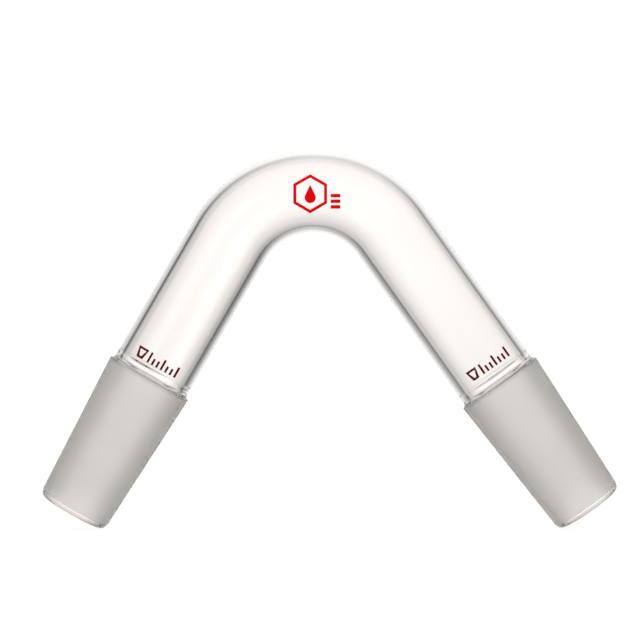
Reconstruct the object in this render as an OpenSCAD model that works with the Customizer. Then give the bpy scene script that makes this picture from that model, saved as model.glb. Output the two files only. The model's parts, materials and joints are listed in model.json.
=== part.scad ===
// Bent connecting adapter for laboratory glassware: one clear tube bent into
// an inverted V, with a male ground-glass taper joint sealed to each end.
// The bend lies in the XZ plane with its crown up, and the two tips are level.
// The origin is the centre of the left joint's gauge plane, which is where its
// ground cone is widest. All lengths are in millimetres.

/* [Ground joints] */
// Diameter of each ground cone at its gauge plane
joint_d = 24; // [23.5:0.1:25]
// Length of each ground cone
joint_len = 40; // [30:1:45]
// Diameter lost per millimetre of cone, one in ten on a standard taper
taper = 0.1; // [0.08:0.01:0.12]
// Glass thickness at the wide end of the cone
throat_wall = 2.4; // [2:0.1:3]
// Glass thickness at the mouth
mouth_wall = 1.9; // [1.8:0.1:2.4]

/* [Tube] */
// Outside diameter of the tube
tube_d = 22; // [20:0.5:22.5]
// Wall thickness of the tube
wall = 1.9; // [1.5:0.1:2.5]
// Length of the left arm, from the end of the bend to the gauge plane
left_straight = 43.3; // [30:0.1:80]
// Length of the right arm, from the end of the bend to the gauge plane
right_straight = 50.2; // [30:0.1:80]

/* [Bend] */
// Radius of the bend along the middle of the tube
bend_r = 26.1; // [20:0.1:40]
// Angle of the left arm below the horizontal
left_lean = 60; // [50:0.5:70]
// Angle of the right arm below the horizontal
right_lean = 54.5; // [50:0.5:70]

/* [Marks] */
// Thickness of the fired enamel
enamel = 0.08; // [0.05:0.01:0.2]
// Height of the maker's mark on the crown
maker_h = 10.4; // [8:0.2:12]
// Height of the size mark on each arm
size_h = 3; // [2:0.1:3.4]
// Left size mark, from its middle to the gauge plane
left_mark_gap = 5.4; // [5.2:0.1:12]
// Right size mark, from its middle to the gauge plane
right_mark_gap = 6.4; // [5.2:0.1:12]

/* [Hidden] */
$fn = 96;

clear_glass = [0.90, 0.93, 0.93, 0.45];
ground_glass = [0.80, 0.79, 0.77];
bright_red = [0.90, 0.02, 0.03];
dark_red = [0.45, 0.03, 0.03];

tube_r = tube_d / 2;
bore_r = tube_r - wall;
joint_r = joint_d / 2;
tip_r = joint_r - taper * joint_len / 2;
throat_r = joint_r - throat_wall;
mouth_r = tip_r - mouth_wall;

// Lamp-worked stub of a joint, above its gauge plane
stub_len = 3.4;
bead_at = 2.5;
bead_rise = 0.04;
ridge_rise = 0.14;
waist_at = 1.7;
waist_dip = 0.04;
flare_len = 1.2;
// Under the gauge plane the bore opens out to the throat over this length
throat_len = 1.6;
// Parallel bore behind the mouth
land_len = 5;

// Fire-polished rim past the end of the ground cone
rim_step = 0.15;
rim_rise = 0.2;
rim_round = 1.5;
lip_round = 0.25;
rim_end = joint_len + rim_rise + rim_round;

// The bend's place. Angles are seen from its centre, from +X towards +Z.
turn = left_lean + right_lean;
right_end_angle = 90 - right_lean;
left_end_angle = right_end_angle + turn;
bend_x = left_straight * cos(left_lean) - bend_r * cos(left_end_angle);
bend_z = left_straight * sin(left_lean) - bend_r * sin(left_end_angle);
right_x = bend_x + bend_r * cos(right_end_angle) + right_straight * cos(right_lean);
right_z = bend_z + bend_r * sin(right_end_angle) - right_straight * sin(right_lean);

// Points of a circular arc about [r, z]
function arc(r, z, size, from, to, steps = 6) = [
    for (i = [0 : steps])
        let (a = from + (to - from) * i / steps)
            [r + size * cos(a), z + size * sin(a)]
];

// Points of a smooth S from point p to point q, without q itself
function ease(p, q, steps = 6) = [
    for (i = [0 : steps - 1])
        let (t = i / steps, s = (1 - cos(180 * t)) / 2)
            [p[0] + (q[0] - p[0]) * s, p[1] + (q[1] - p[1]) * t]
];

// A joint's own frame: its gauge plane is z = 0 and its mouth points to +Z.
module at_left() {
    rotate([0, -90 - left_lean, 0]) children();
}

module at_right() {
    translate([right_x, 0, right_z]) rotate([0, 90 + right_lean, 0]) children();
}

module at_bend() {
    translate([bend_x, 0, bend_z]) rotate([90, 0, 0]) children();
}

// A ring section swept about the middle of the bend, spread equally to both
// sides of the angle called middle
module bend_sweep(outer, inner, middle, spread) {
    at_bend() rotate([0, 0, middle - spread / 2]) rotate_extrude(angle = spread)
        translate([bend_r, 0]) difference() {
            circle(r = outer);
            circle(r = inner);
        }
}

module tube(outer, inner, from, to) {
    translate([0, 0, from]) linear_extrude(to - from) difference() {
        circle(r = outer);
        circle(r = inner);
    }
}

// ---- glass ----

module elbow() {
    color(clear_glass)
        bend_sweep(tube_r, bore_r, (left_end_angle + right_end_angle) / 2, turn);
}

module arm(straight) {
    color(clear_glass) tube(tube_r, bore_r, -straight, -stub_len);
}

module left_arm() {
    at_left() arm(left_straight);
}

module right_arm() {
    at_right() arm(right_straight);
}

// Half section of a joint from the seal down the outside, round the rim and
// back up the bore
function joint_outside() = concat(
    ease([tube_r, -stub_len], [tube_r + bead_rise, -bead_at]),
    ease([tube_r + bead_rise, -bead_at], [tube_r - waist_dip, -waist_at]),
    [[tube_r - waist_dip, -waist_at], [tube_r - waist_dip, -flare_len]],
    [[joint_r, 0], [tip_r, joint_len]]
);

function joint_rim() = concat(
    arc(tip_r - rim_step - rim_round, joint_len + rim_rise, rim_round, 0, 90),
    arc(mouth_r + lip_round, rim_end - lip_round, lip_round, 90, 180)
);

function joint_bore() = concat(
    [[mouth_r, joint_len - land_len]],
    ease([throat_r, throat_len], [bore_r, -waist_at]),
    ease([bore_r, -waist_at], [bore_r - ridge_rise, -bead_at]),
    ease([bore_r - ridge_rise, -bead_at], [bore_r, -stub_len]),
    [[bore_r, -stub_len]]
);

module joint() {
    color(ground_glass) rotate_extrude()
        polygon(concat(joint_outside(), joint_rim(), joint_bore()));
}

module left_joint() {
    at_left() joint();
}

module right_joint() {
    at_right() joint();
}

// ---- fired enamel marks ----

// Children, drawn flat as they are seen from the front, as prisms that reach
// from the middle of the tube out past its side that faces -Y
module print_front() {
    beyond = 1;
    rotate([90, 0, 0]) linear_extrude(tube_r + beyond) children();
}

module drop(size, height) {
    tangent = acos(size / height);
    circle(r = size);
    polygon([
        [-size * sin(tangent), size * cos(tangent)],
        [size * sin(tangent), size * cos(tangent)],
        [0, height]
    ]);
}

// A liquid drop in a hexagon, with three short bars beside it
module maker_shape() {
    hexagon_r = maker_h / 2;
    band = maker_h / 11;
    drop_r = maker_h / 7;
    drop_h = maker_h / 3;
    drop_low = maker_h / 10;
    bars = 3;
    bar_len = maker_h / 4;
    bar_pitch = maker_h / 7;
    bar_x = hexagon_r * cos(30) + band;
    rotate(30) difference() {
        circle(r = hexagon_r, $fn = 6);
        circle(r = hexagon_r - band, $fn = 6);
    }
    translate([0, -drop_low]) drop(drop_r, drop_h);
    for (i = [1 : bars])
        translate([bar_x, band / 2 - bar_pitch * i]) square([bar_len, band]);
}

module maker_mark() {
    // The mark sits a little inside the middle of the tube, and its bars reach
    // further right than the hexagon does left
    drop_down = 1.1;
    shift = -maker_h / 14;
    spread = 60;
    color(bright_red) intersection() {
        bend_sweep(tube_r + enamel, tube_r, 90, spread);
        translate([bend_x + shift, 0, bend_z + bend_r - drop_down])
            print_front() maker_shape();
    }
}

// The outline of a ground cone, then a row of ticks with every third one tall
module size_shape() {
    stroke = size_h / 5;
    cone_top = size_h;
    cone_bottom = size_h * 0.6;
    ticks = 7;
    tick_pitch = size_h * 0.45;
    short_tick = size_h * 0.6;
    row_w = cone_top + ticks * tick_pitch;
    translate([(cone_top - row_w) / 2, 0]) difference() {
        trapezoid(cone_top, cone_bottom, size_h);
        trapezoid(cone_top - 2 * stroke, cone_bottom - 2 * stroke, size_h - 2 * stroke);
    }
    for (i = [1 : ticks])
        let (tall = i % 3 == 1 ? size_h : short_tick)
            translate([cone_top - row_w / 2 + tick_pitch * i - stroke, -size_h / 2])
                square([stroke, tall]);
}

module trapezoid(top, bottom, height) {
    polygon([
        [-top / 2, height / 2],
        [-bottom / 2, -height / 2],
        [bottom / 2, -height / 2],
        [top / 2, height / 2]
    ]);
}

module size_mark(gap) {
    color(dark_red) intersection() {
        tube(tube_r + enamel, tube_r, -gap - size_h, -gap + size_h);
        translate([0, 0, -gap]) rotate([0, 180, 0]) print_front() size_shape();
    }
}

module left_size_mark() {
    at_left() size_mark(left_mark_gap);
}

module right_size_mark() {
    at_right() size_mark(right_mark_gap);
}

elbow();
left_arm();
right_arm();
left_joint();
right_joint();
maker_mark();
left_size_mark();
right_size_mark();
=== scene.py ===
"""Looks of a bent laboratory connecting adapter: clear tube, two ground joints, fired marks.

Lengths are in metres. The frame gives every place and size; what it can't say, such as
the run of the lamp-worked shoulders, is named in millimetres near the code that uses it.
"""

import json
import math

import bmesh
import bpy
import numpy as np
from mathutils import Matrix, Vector


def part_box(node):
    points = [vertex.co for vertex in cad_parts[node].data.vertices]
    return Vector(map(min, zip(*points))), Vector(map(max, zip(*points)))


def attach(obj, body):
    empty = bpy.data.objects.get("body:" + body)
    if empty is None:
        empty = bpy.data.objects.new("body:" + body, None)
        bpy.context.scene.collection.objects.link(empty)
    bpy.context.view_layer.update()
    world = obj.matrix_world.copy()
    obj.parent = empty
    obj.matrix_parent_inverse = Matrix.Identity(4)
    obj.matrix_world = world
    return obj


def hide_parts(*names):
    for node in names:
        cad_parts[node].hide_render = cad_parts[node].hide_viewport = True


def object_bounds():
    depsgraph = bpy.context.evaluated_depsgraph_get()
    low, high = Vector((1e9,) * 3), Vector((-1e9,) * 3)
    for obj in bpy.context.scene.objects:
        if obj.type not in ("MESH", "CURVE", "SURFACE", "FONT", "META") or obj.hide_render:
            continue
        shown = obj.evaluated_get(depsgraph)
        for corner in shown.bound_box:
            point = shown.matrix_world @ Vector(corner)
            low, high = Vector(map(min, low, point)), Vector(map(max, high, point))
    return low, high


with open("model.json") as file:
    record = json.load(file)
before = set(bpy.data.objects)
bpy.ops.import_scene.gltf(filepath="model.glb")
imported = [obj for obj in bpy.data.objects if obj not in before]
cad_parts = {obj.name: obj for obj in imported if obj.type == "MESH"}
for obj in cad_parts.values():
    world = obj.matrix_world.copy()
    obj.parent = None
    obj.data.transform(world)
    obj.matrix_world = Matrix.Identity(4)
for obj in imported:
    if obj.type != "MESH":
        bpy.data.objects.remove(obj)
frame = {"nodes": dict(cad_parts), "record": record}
cad_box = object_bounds()

MM = 0.001
SIDES = 160  # vertices round every ring
CREASE = math.radians(35)  # corners sharper than this keep a hard edge
FRONT = Vector((0, -1, 0))  # the marks face this way

CLEAR, GROUND, FUSED = range(3)  # material slots of a glass piece


# ---- what the frame says ----

mounts = {m["name"]: m for m in frame["record"]["mounts"]}


class Arm:
    """One arm's axis: its gauge plane's centre, and the way down to its mouth."""

    def __init__(self, side):
        taper = mounts[side + "_taper"]
        self.gauge = Vector(taper["pos_m"])
        self.down = Vector(taper["axis"]).normalized()

    def at(self, depth):
        """The point on the axis this far below the gauge plane."""
        return self.gauge + self.down * depth


def axis_distances(node, arm):
    """How far each vertex of a CAD node is from an arm's axis."""
    points = np.array([v.co for v in frame["nodes"][node].data.vertices], float)
    offset = points - np.array(arm.gauge)
    down = np.array(arm.down)
    return np.linalg.norm(offset - np.outer(offset @ down, down), axis=1)


left, right = Arm("left"), Arm("right")
TUBE_R = axis_distances("left_arm", left).max()
BORE_R = axis_distances("left_arm", left).min()
JOINT_R = axis_distances("left_joint", left).max()
MOUTH_R = mounts["left_mouth"]["dims"]["r_mm"] * MM


def find_bend():
    """Centre and radius of the bend, from the two axes and the top of the elbow."""
    gap = right.gauge - left.gauge
    reach = gap.cross(right.down).y / left.down.cross(right.down).y
    meet = left.at(reach)
    bisector = (left.down + right.down).normalized()
    slant = math.sin(left.down.angle(right.down) / 2)
    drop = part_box("elbow")[1].z - TUBE_R - meet.z
    radius = drop / (1 + bisector.z / slant)
    return meet + bisector * (radius / slant), radius


BEND_CENTRE, BEND_R = find_bend()


# ---- rings and the solids made of them ----

ANGLES = np.linspace(0, 2 * math.pi, SIDES, endpoint=False)


def ring(centre, outward, radius):
    """Points round a centre, in the plane of outward and FRONT. radius may vary round it."""
    circle = np.outer(radius * np.cos(ANGLES), outward) + np.outer(radius * np.sin(ANGLES), FRONT)
    return np.array(centre) + circle


def outward_of(arm):
    """Away from the bend's centre, square to the arm."""
    side = arm.gauge - BEND_CENTRE
    return (side - arm.down * side.dot(arm.down)).normalized()


def ring_solid(name, rings, bands, materials):
    """A closed solid through rings in order, the last joined to the first.

    bands holds each band's material slot, where band k lies between ring k and the next.
    """
    count = len(rings)
    faces = []
    slots = []
    for k in range(count):
        here, there = k * SIDES, (k + 1) % count * SIDES
        for i in range(SIDES):
            j = (i + 1) % SIDES
            faces.append((here + i, here + j, there + j, there + i))
            slots.append(bands[k])
    mesh = bpy.data.meshes.new(name)
    mesh.from_pydata(np.concatenate(rings).tolist(), [], faces)
    mesh.polygons.foreach_set("material_index", slots)
    shape = bmesh.new()
    shape.from_mesh(mesh)
    bmesh.ops.recalc_face_normals(shape, faces=shape.faces)
    shape.to_mesh(mesh)
    shape.free()
    mesh.shade_smooth()
    mesh.set_sharp_from_angle(angle=CREASE)
    for material in materials:
        mesh.materials.append(material)
    piece = bpy.data.objects.new(name, mesh)
    bpy.context.scene.collection.objects.link(piece)
    return piece


def tube_solid(name, stations, ripple, materials):
    """A length of tube through stations, each a (centre, outward) pair."""
    count = len(stations)
    share = np.linspace(0, 1, count)
    shift = 0.37  # along the tube, so that the bore isn't uneven where the outside is
    outer = [ring(c, o, TUBE_R + ripple(s)) for (c, o), s in zip(stations, share)]
    inner = [ring(c, o, BORE_R + ripple(s + shift) * fade(s)) for (c, o), s in zip(stations, share)]
    walls = [CLEAR] * (count - 1) + [FUSED]
    return ring_solid(name, outer + inner[::-1], walls + walls, materials)


def fade(share):
    """From 0 at both ends of a piece to 1 in its middle, level at the ends."""
    return math.sin(math.pi * min(max(share, 0), 1)) ** 2


def flame_ripple(seed, height):
    """The slow unevenness that a flame leaves in tube: an offset for each angle of a ring."""
    chance = np.random.default_rng(seed)
    along = (2, 3, 5)  # waves in the length of the piece
    lobes = (1, 2, 3)  # waves round the tube
    waves = [(n, m, *chance.uniform(0, 2 * math.pi, 2)) for n in along for m in lobes]

    def offset(share):
        total = sum(
            math.sin(2 * math.pi * n * share + a) * np.cos(m * ANGLES + b) / n
            for n, m, a, b in waves
        )
        return height * fade(share) * total / len(lobes)

    return offset


# ---- materials ----

RANGE_INPUTS = ("From Min", "From Max", "To Min", "To Max")


class Look:
    """A material with a Principled shader and short ways to add nodes to it."""

    def __init__(self, name):
        self.material = bpy.data.materials.new(name)
        self.material.use_nodes = True
        self.tree = self.material.node_tree
        self.shader = self.tree.nodes["Principled BSDF"]
        self.place = self.add("ShaderNodeTexCoord").outputs["Object"]

    def add(self, kind, **settings):
        node = self.tree.nodes.new(kind)
        for key, value in settings.items():
            setattr(node, key, value)
        return node

    def link(self, output, socket):
        self.tree.links.new(output, socket)

    def feed(self, key, output):
        """Lets a node's output drive one of the shader's sockets."""
        self.link(output, self.shader.inputs[key])

    def set(self, **values):
        for key, value in values.items():
            self.shader.inputs[key.replace("_", " ")].default_value = value

    def noise(self, size, detail=2.0, roughness=0.5):
        """A noise whose patches are about size across."""
        node = self.add("ShaderNodeTexNoise")
        node.inputs["Scale"].default_value = 1 / size
        node.inputs["Detail"].default_value = detail
        node.inputs["Roughness"].default_value = roughness
        self.link(self.place, node.inputs["Vector"])
        return node.outputs["Fac"]

    def spread(self, source, low, high, start=0.3, end=0.7):
        """A number that runs from low to high as source runs from start to end."""
        node = self.add("ShaderNodeMapRange")
        for key, value in zip(RANGE_INPUTS, (start, end, low, high)):
            node.inputs[key].default_value = value
        self.link(source, node.inputs["Value"])
        return node.outputs["Result"]

    def tint(self, source, first, second):
        """A colour between first and second, as source says."""
        node = self.add("ShaderNodeMix", data_type="RGBA")
        self.link(source, node.inputs["Factor"])
        node.inputs["A"].default_value = (*first, 1)
        node.inputs["B"].default_value = (*second, 1)
        return node.outputs["Result"]

    def bump(self, height, depth):
        """A normal for a bump of that depth in metres."""
        node = self.add("ShaderNodeBump")
        node.inputs["Strength"].default_value = 1
        node.inputs["Distance"].default_value = depth
        self.link(height, node.inputs["Height"])
        return node.outputs["Normal"]


GLASS_IOR = 1.473


def clear_glass():
    look = Look("clear_glass")
    look.set(IOR=GLASS_IOR, Roughness=0.0, Transmission_Weight=1.0)
    cloud = look.noise(14 * MM)
    look.feed("Base Color", look.tint(cloud, (0.990, 0.966, 0.948), (0.998, 0.980, 0.966)))
    look.feed("Normal", look.bump(look.noise(5 * MM, detail=1.0), 0.005 * MM))
    return look.material


def ground_glass():
    look = Look("ground_glass")
    look.set(IOR=GLASS_IOR, Transmission_Weight=0.84)
    grain = look.noise(0.22 * MM, detail=3.0, roughness=0.7)
    patches = look.noise(6 * MM, detail=4.0)
    look.feed("Roughness", look.spread(patches, 0.46, 0.58))
    cloudy = look.tint(patches, (0.90, 0.872, 0.838), (0.955, 0.93, 0.90))
    # Painted shade: the base colour is darkened over the cone's first 0.7 mm below its upper edge,
    # for the shade that the thick shoulder throws into the frosted glass
    depth = look.add("ShaderNodeAttribute", attribute_name="depth").outputs["Fac"]
    edge = look.spread(depth, 1.0, 0.0, start=0.15 * MM, end=0.7 * MM)
    painted_edge_shade = look.add("ShaderNodeMix", data_type="RGBA", blend_type="MULTIPLY")
    look.link(edge, painted_edge_shade.inputs["Factor"])
    look.link(cloudy, painted_edge_shade.inputs["A"])
    painted_edge_shade.inputs["B"].default_value = (0.78, 0.77, 0.76, 1)
    look.feed("Base Color", painted_edge_shade.outputs["Result"])
    look.feed("Normal", look.bump(grain, 0.015 * MM))
    return look.material


def enamel(name, deep, bright):
    look = Look(name)
    look.set(IOR=1.5, Specular_IOR_Level=0.03)
    blotch = look.noise(0.9 * MM, detail=4.0)
    look.feed("Base Color", look.tint(blotch, deep, bright))
    look.feed("Roughness", look.spread(blotch, 0.3, 0.5))
    look.feed("Normal", look.bump(look.noise(0.25 * MM, detail=3.0), 0.012 * MM))
    return look.material


def fused_seam():
    """Where two pieces are melted into one: nothing to see."""
    look = Look("fused_seam")
    look.tree.nodes.remove(look.shader)
    gone = look.add("ShaderNodeBsdfTransparent")
    look.link(gone.outputs["BSDF"], look.tree.nodes["Material Output"].inputs["Surface"])
    return look.material


GLASS = [clear_glass(), ground_glass(), fused_seam()]
BRIGHT_RED = enamel("bright_red_enamel", (0.67, 0.0, 0.0), (0.75, 0.0, 0.001))
DARK_RED = enamel("dark_red_enamel", (0.080, 0.001, 0.001), (0.115, 0.002, 0.002))


# ---- glass ----

STUB = 3.4 * MM  # from the seal down to the gauge plane


def make_elbow():
    start, end = (math.atan2(o.z, o.x) for o in (outward_of(left), outward_of(right)))
    turn = end - start
    steps = 120
    near = 0.0005  # a first and last sliver, so that the seams' normals match the arms'
    shares = [0, near, *np.linspace(0, 1, steps + 1)[1:-1], 1 - near, 1]
    stations = []
    for share in shares:
        angle = start + turn * share
        outward = Vector((math.cos(angle), 0, math.sin(angle)))
        stations.append((BEND_CENTRE + outward * BEND_R, outward))
    return tube_solid("elbow_glass", stations, flame_ripple(11, 0.012 * MM), GLASS)


def make_arm(name, arm, seed):
    outward = outward_of(arm)
    bend_end = (BEND_CENTRE - arm.gauge).dot(arm.down)
    steps = 40
    stations = [(arm.at(d), outward) for d in np.linspace(bend_end, -STUB, steps + 1)]
    return tube_solid(name, stations, flame_ripple(seed, 0.010 * MM), GLASS)


def ease(start, end, steps=12):
    """Points of a smooth S from start up to, but without, end."""
    points = []
    for i in range(steps):
        t = i / steps
        s = (1 - math.cos(math.pi * t)) / 2
        points.append((start[0] + (end[0] - start[0]) * s, start[1] + (end[1] - start[1]) * t))
    return points


def arc(r, z, size, start, end, steps=10):
    """Points of an arc about (r, z), from start to end in degrees, both included."""
    angles = (math.radians(start + (end - start) * i / steps) for i in range(steps + 1))
    return [(r + size * math.cos(a), z + size * math.sin(a)) for a in angles]


def joint_profile():
    """(radius, depth below the gauge plane) pairs in mm, from the seal down the outside and
    back up the bore, with the material slot of the band that follows each point."""
    tube, bore, cone, mouth = (r / MM for r in (TUBE_R, BORE_R, JOINT_R, MOUTH_R))
    taper_loss, throat_wall = 2, 2.4
    tip, throat = cone - taper_loss, cone - throat_wall
    # Depths down the outside
    seal, bead, waist, flare_end = -STUB / MM, -2.5, -1.7, -0.1
    cone_end, rim_end = 40, 41.7
    # Depths up the bore
    land_end, land_fade, widen_end = 35.2, 34.8, 32.8
    throat_at, bore_at = 0.5, -1.1
    # Rises, steps and roundings
    bead_rise, ridge_rise, widen = 0.04, 0.05, 0.1
    edge_round, rim_step, rim_round, lip_round = 0.06, 0.15, 1.5, 0.25

    flare = cone - edge_round - tube
    shoulder = [
        *ease((tube, seal), (tube + bead_rise, bead)),
        *ease((tube + bead_rise, bead), (tube, waist)),
        *((tube + flare * t**3, waist + (flare_end - waist) * t) for t in np.linspace(0, 1, 17)),
    ]
    ground = [(cone + (tip - cone) * t, cone_end * t) for t in np.linspace(0, 1, 31)]
    rim = [
        (tip - rim_step * 2 / 3, cone_end + edge_round),
        *arc(tip - rim_step - rim_round, rim_end - rim_round, rim_round, 0, 90),
        *arc(mouth + lip_round, rim_end - lip_round, lip_round, 90, 180),
    ]
    passage = [
        (mouth, land_end),
        *ease((mouth, land_fade), (mouth + widen, widen_end), 4),
        *ease((throat, throat_at), (bore, bore_at)),
        *ease((bore, bore_at), (bore - ridge_rise, bead)),
        *ease((bore - ridge_rise, bead), (bore, seal)),
        (bore, seal),
    ]
    points = shoulder + ground + rim + passage
    bands = [CLEAR] * len(shoulder) + [GROUND] * (len(ground) - 1)
    bands += [CLEAR] * (len(points) - len(bands) - 1) + [FUSED]
    return points, bands


def make_joint(name, arm, seed, wave):
    """wave is how uneven the lamp-worker left the bore behind the shoulder, in metres."""
    outward = outward_of(arm)
    points, bands = joint_profile()
    chance = np.random.default_rng(seed)
    phases = chance.uniform(0, 2 * math.pi, 5)
    unevenness = sum(np.cos((n + 2) * ANGLES + a) for n, a in enumerate(phases)) / len(phases)
    wave_at, wave_reach = -2.3, 0.45  # mm, along the joint
    bore_side = BORE_R / MM + 0.5
    rings = []
    for r, depth in points:
        swell = wave * math.exp(-(((depth - wave_at) / wave_reach) ** 2)) if r < bore_side else 0
        rings.append(ring(arm.at(depth * MM), outward, r * MM + swell * unevenness))
    piece = ring_solid(name, rings, bands, GLASS)
    depths = np.repeat([depth * MM for _, depth in points], SIDES)
    piece.data.attributes.new("depth", "FLOAT", "POINT").data.foreach_set("value", depths)
    return piece


def finish_glass(piece, node):
    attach(piece, "root")
    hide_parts(node)


finish_glass(make_elbow(), "elbow")
finish_glass(make_arm("left_arm_glass", left, 21), "left_arm")
finish_glass(make_arm("right_arm_glass", right, 22), "right_arm")
finish_glass(make_joint("left_joint_glass", left, 31, 0.16 * MM), "left_joint")
finish_glass(make_joint("right_joint_glass", right, 32, 0.03 * MM), "right_joint")


# ---- fired marks ----

def repaint(node, material):
    """Gives a CAD node this material in place of its own."""
    piece = frame["nodes"][node]
    piece.data.materials.clear()
    piece.data.materials.append(material)


repaint("maker_mark", BRIGHT_RED)
repaint("left_size_mark", DARK_RED)
repaint("right_size_mark", DARK_RED)


# ---- floor, world and camera ----

WHITE = 1.12  # what the camera and matt surfaces see all round
SURROUND = 0.12  # what glass sees outside the cards below


def make_floor():
    """A pale table under the tips. Glass looks past it, at the cards of the world."""
    low, high = cad_box
    mesh = bpy.data.meshes.new("floor")
    half = 4.0
    gap = 0.2 * MM  # under the tips
    corners = [(x, y, 0) for x, y in ((-half, -half), (half, -half), (half, half), (-half, half))]
    mesh.from_pydata(corners, [], [(0, 1, 2, 3)])
    floor = bpy.data.objects.new("floor", mesh)
    floor.location = ((low.x + high.x) / 2, 0, low.z - gap)
    bpy.context.scene.collection.objects.link(floor)
    floor.visible_transmission = False
    floor.visible_glossy = False
    look = Look("pale_floor")
    look.set(Roughness=0.9, Specular_IOR_Level=0.0)
    look.set(Emission_Color=(1, 1, 1, 1), Emission_Strength=0.92)
    look.feed("Base Color", look.tint(look.noise(0.3), (0.15, 0.15, 0.15), (0.16, 0.16, 0.16)))
    mesh.materials.append(look.material)


def towards(off_axis, around):
    """A direction off_axis degrees from +Y, around degrees about it from +X towards +Z."""
    a, b = math.radians(off_axis), math.radians(around)
    return Vector((math.sin(a) * math.cos(b), math.cos(a), math.sin(a) * math.sin(b)))


# Brightness at these degrees away from +Y, on rays that go off to each side. The keys are
# degrees about +Y from +X towards +Z.
TABLE_ANGLES = (0, 10, 20, 30, 37, 42, 47, 60)
LIGHT_TABLE = {
    0: (1.20, 0.98, 0.72, 0.48, 0.30, 0.18, 0.06, 0.06),
    30: (1.20, 1.14, 0.99, 0.62, 0.39, 0.22, 0.06, 0.06),
    60: (1.20, 1.18, 1.08, 0.88, 0.72, 0.62, 0.55, 0.55),
    90: (1.20, 1.18, 1.10, 1.02, 0.95, 0.80, 0.68, 0.68),
    120: (1.20, 1.15, 1.02, 0.88, 0.72, 0.52, 0.40, 0.40),
    150: (1.20, 1.06, 0.80, 0.62, 0.34, 0.01, 0.00, 0.00),
    180: (1.20, 0.95, 0.68, 0.50, 0.32, 0.12, 0.04, 0.04),
    -150: (1.20, 0.85, 0.52, 0.38, 0.28, 0.16, 0.03, 0.03),
    -120: (1.20, 0.87, 0.59, 0.49, 0.41, 0.34, 0.30, 0.30),
    -90: (1.20, 0.89, 0.68, 0.63, 0.55, 0.38, 0.34, 0.34),
    -60: (1.20, 0.86, 0.62, 0.50, 0.41, 0.30, 0.25, 0.25),
    -30: (1.20, 0.80, 0.47, 0.28, 0.17, 0.07, 0.03, 0.03),
}


# Where the glass is looked through from the other sides: the way that a camera there looks,
# how far off it in degrees the card is whole and where it is gone, and its brightness
SIDE_CARDS = (
    (towards(90, 183), 14, 30, 0.95),  # from the right
    (towards(133.1, -20.8), 14, 32, 1.0),  # from behind, on the left
)
SIDE_WINDOWS = (
    (towards(50.1, -146.6), 13, 19, 0.90),  # from in front, on the right and above
    (towards(56, -33), 8, 12, 0.90),  # from in front, on the left and above
    (towards(85, -90), 22, 40, 0.95),  # from above
    (towards(90, -3), 22, 40, 0.95),  # from the left
    (towards(177, -90), 22, 40, 0.95),  # from behind
    (towards(133.1, -159.2), 22, 40, 0.95),  # from behind, on the right
)


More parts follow.
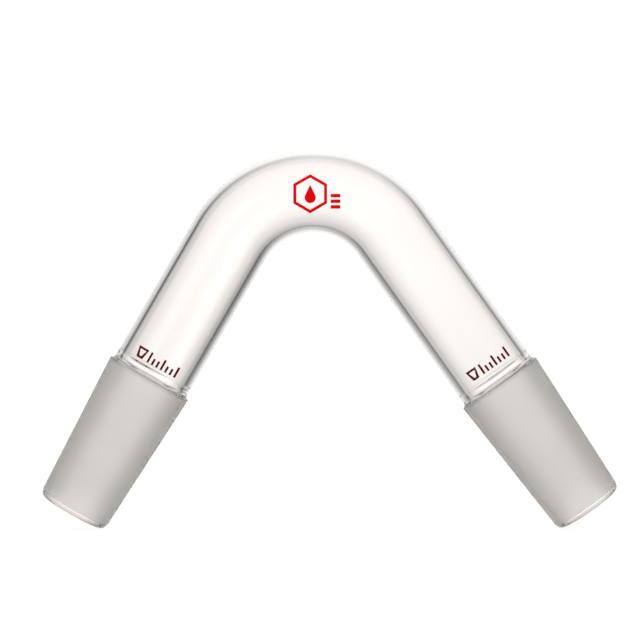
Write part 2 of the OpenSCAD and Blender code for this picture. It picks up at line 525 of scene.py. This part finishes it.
class Sky:
    """World nodes that lay cards of one brightness over another, as a ray's direction says."""

    def __init__(self, tree, level):
        self.nodes, self.links = tree.nodes, tree.links
        self.ray = self.nodes.new("ShaderNodeTexCoord").outputs["Generated"]
        self.path = self.nodes.new("ShaderNodeLightPath").outputs
        self.level = level

    def give(self, socket, value):
        if isinstance(value, (int, float)):
            socket.default_value = value
        else:
            self.links.new(value, socket)

    def math(self, operation, *values):
        node = self.nodes.new("ShaderNodeMath")
        node.operation = operation
        for socket, value in zip(node.inputs, values):
            self.give(socket, value)
        return node.outputs["Value"]

    def along(self, direction, ray=None):
        """How far the ray points along direction, from -1 to 1."""
        node = self.nodes.new("ShaderNodeVectorMath")
        node.operation = "DOT_PRODUCT"
        node.inputs[1].default_value = direction
        self.links.new(ray or self.ray, node.inputs[0])
        return node.outputs["Value"]

    def within(self, angle, inner, outer):
        """From 1 where angle is under inner to 0 where it is over outer, all in degrees."""
        node = self.nodes.new("ShaderNodeMapRange")
        for key, value in zip(RANGE_INPUTS, (math.radians(inner), math.radians(outer), 1, 0)):
            node.inputs[key].default_value = value
        self.links.new(angle, node.inputs["Value"])
        return node.outputs["Result"]

    def lay(self, share, level):
        """Lays a brightness over the sky where share is 1, and none of it where share is 0."""
        node = self.nodes.new("ShaderNodeMix")
        for key, value in (("Factor", share), ("A", self.level), ("B", level)):
            self.give(node.inputs[key], value)
        self.level = node.outputs["Result"]

    def card(self, direction, inner, outer, level):
        """A soft round card, whole up to inner degrees off its middle and gone at outer."""
        self.lay(self.within(self.math("ARCCOSINE", self.along(direction)), inner, outer), level)

    def light_table(self, levels):
        """Ahead of the camera, brightness by how far off +Y a ray goes and to which side."""
        off = self.math("ARCCOSINE", self.along((0, 1, 0)))
        flat = self.nodes.new("ShaderNodeVectorMath")
        flat.operation = "MULTIPLY"
        flat.inputs[1].default_value = (1, 0, 1)
        self.links.new(self.ray, flat.inputs[0])
        aside = self.nodes.new("ShaderNodeVectorMath")
        aside.operation = "NORMALIZE"
        self.links.new(flat.outputs["Vector"], aside.inputs[0])
        spacing = 360 / len(levels)
        edge, gone = TABLE_ANGLES[-1], 75
        total = 0.0
        for around, values in levels.items():
            dot = self.along(towards(90, around), aside.outputs["Vector"])
            share = self.within(self.math("ARCCOSINE", dot), 0, spacing)
            curve = self.nodes.new("ShaderNodeValToRGB")
            self.links.new(self.math("DIVIDE", off, math.radians(edge)), curve.inputs["Fac"])
            stops = curve.color_ramp.elements
            for angle, value in zip(TABLE_ANGLES, values):
                place = angle / edge
                stop = stops[0] if angle == 0 else stops.new(place)
                stop.position = place
                stop.color = (value, value, value, 1)
            stops.remove(stops[-1])
            total = self.math("ADD", total, self.math("MULTIPLY", share, curve.outputs["Color"]))
        self.lay(self.within(off, edge, gone), total)

    def window(self, direction, inner, outer, level, turned=False):
        """A card for what passes right through the tube, turned by the bore's wall or not."""
        share = self.within(self.math("ARCCOSINE", self.along(direction)), inner, outer)
        passed = self.math("GREATER_THAN", self.path["Transmission Depth"], 2.5)
        compare = "GREATER_THAN" if turned else "LESS_THAN"
        kind = self.math(compare, self.path["Glossy Depth"], 0.5)
        self.lay(self.math("MULTIPLY", share, self.math("MULTIPLY", passed, kind)), level)

    def strip(self, start, end, width, level):
        """A straight lamp from one direction to another, width degrees to each side."""
        side = start.cross(end).normalized()
        reach = math.degrees(start.angle(end)) / 2
        across = self.math("ARCSINE", self.math("ABSOLUTE", self.along(side)))
        off_middle = self.math("ARCCOSINE", self.along((start + end).normalized()))
        narrow = self.within(across, width / 3, width)
        short = self.within(off_middle, reach * 0.6, reach)
        self.lay(self.math("MULTIPLY", narrow, short), level)


def make_world():
    """White to the camera. Glass sees bright windows and dark cards, as on a light table."""
    world = bpy.data.worlds.new("studio")
    bpy.context.scene.world = world
    world.use_nodes = True
    world.cycles.sampling_method = "NONE"
    sky = Sky(world.node_tree, SURROUND)
    for card in SIDE_CARDS:
        sky.card(*card)
    sky.light_table(LIGHT_TABLE)
    for card in SIDE_WINDOWS:
        sky.window(*card)
    # A lamp behind the camera and below it, for thin bright lines in the bend
    sky.strip(towards(148, -90), towards(122, -135), 0.8, 7.0)
    # A dark card, for a crisp line inside the left arm's outer wall
    sky.window(towards(20, 150), 16, 30, 0.02, turned=True)
    sky.lay(sky.path["Is Diffuse Ray"], WHITE)
    sky.lay(sky.path["Is Camera Ray"], WHITE)
    sky.links.new(sky.level, world.node_tree.nodes["Background"].inputs["Color"])


def make_camera():
    """Square to the bend, from far enough for the near edges of the cones to bow a little."""
    distance, shown_width = 0.78, 0.173
    below_bend = Vector((1.87 * MM, 0, -8.68 * MM))
    camera = bpy.data.objects.new("camera", bpy.data.cameras.new("camera"))
    camera.location = BEND_CENTRE + below_bend - Vector((0, distance, 0))
    camera.rotation_euler = (math.radians(90), 0, 0)
    camera.data.lens = camera.data.sensor_width * distance / shown_width
    bpy.context.scene.collection.objects.link(camera)
    bpy.context.scene.camera = camera


make_floor()
make_world()
make_camera()

scene = bpy.context.scene
scene.view_settings.view_transform = "Standard"
scene.cycles.max_bounces = 24
scene.cycles.transmission_bounces = 24
scene.cycles.glossy_bounces = 8
scene.cycles.transparent_max_bounces = 32
